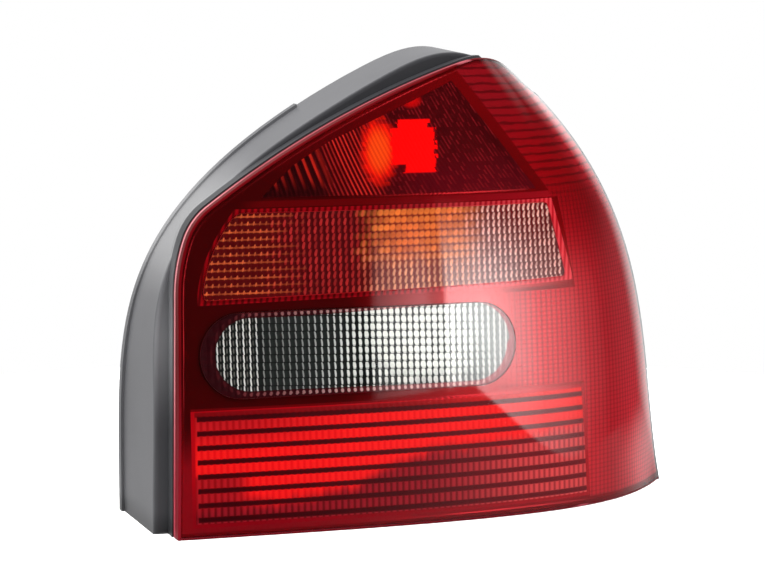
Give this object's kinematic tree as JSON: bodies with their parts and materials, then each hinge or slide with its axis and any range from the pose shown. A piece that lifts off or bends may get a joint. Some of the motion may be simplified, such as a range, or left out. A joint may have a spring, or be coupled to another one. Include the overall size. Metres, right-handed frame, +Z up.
{
  "type": "tail light cluster",
  "caption": "Corner-wrapping car rear lamp: red lens with amber and clear pillow-optic windows and a striped fog panel on a stepped grey housing with rear studs and plug socket.",
  "frame": {"origin": "on the mounting face that meets the car's panel, on the axis of the lower stud", "axes": "+X outboard, +Y into the car body along the studs, +Z up"},
  "size_m": [0.3546, 0.1266, 0.2795],
  "materials": {
    "red_lens": "clear moulded red, polished",
    "amber_lens": "clear moulded amber over red, polished",
    "clear_lens": "clear moulded, polished",
    "black_plastic": "moulded, satin",
    "grey_housing": "moulded, fine grain",
    "stud_steel": "zinc plated",
    "gasket_foam": "closed-cell foam",
    "seal_rubber": "matt",
    "metallised_plastic": "bright metallised coating on moulded plastic",
    "pale_carrier": "moulded, satin",
    "contact_brass": "stamped",
    "bulb_glass": "blown",
    "cap_brass": "drawn, nickel washed"
  },
  "bodies": {
    "root": {"red_lens": "red_lens", "indicator_lens": "amber_lens", "reverse_lens": "clear_lens", "fog_stripe_bars": "black_plastic", "housing": "grey_housing", "mounting_studs": "stud_steel", "body_gasket": "gasket_foam", "carrier_seal": "seal_rubber", "reflector": "metallised_plastic", "bulb_carrier": "pale_carrier", "plug_socket": "black_plastic", "fog_strip": "contact_brass", "indicator_strip": "contact_brass", "reverse_strip": "contact_brass", "tail_strip": "contact_brass", "stop_strip": "contact_brass", "ground_strip": "contact_brass", "stop_tail_bulb_glass": "bulb_glass", "indicator_bulb_glass": "bulb_glass", "reverse_bulb_glass": "bulb_glass", "fog_bulb_glass": "bulb_glass", "stop_tail_bulb_cap": "cap_brass", "indicator_bulb_cap": "cap_brass", "reverse_bulb_cap": "cap_brass", "fog_bulb_cap": "cap_brass"}
  },
  "joints": []
}
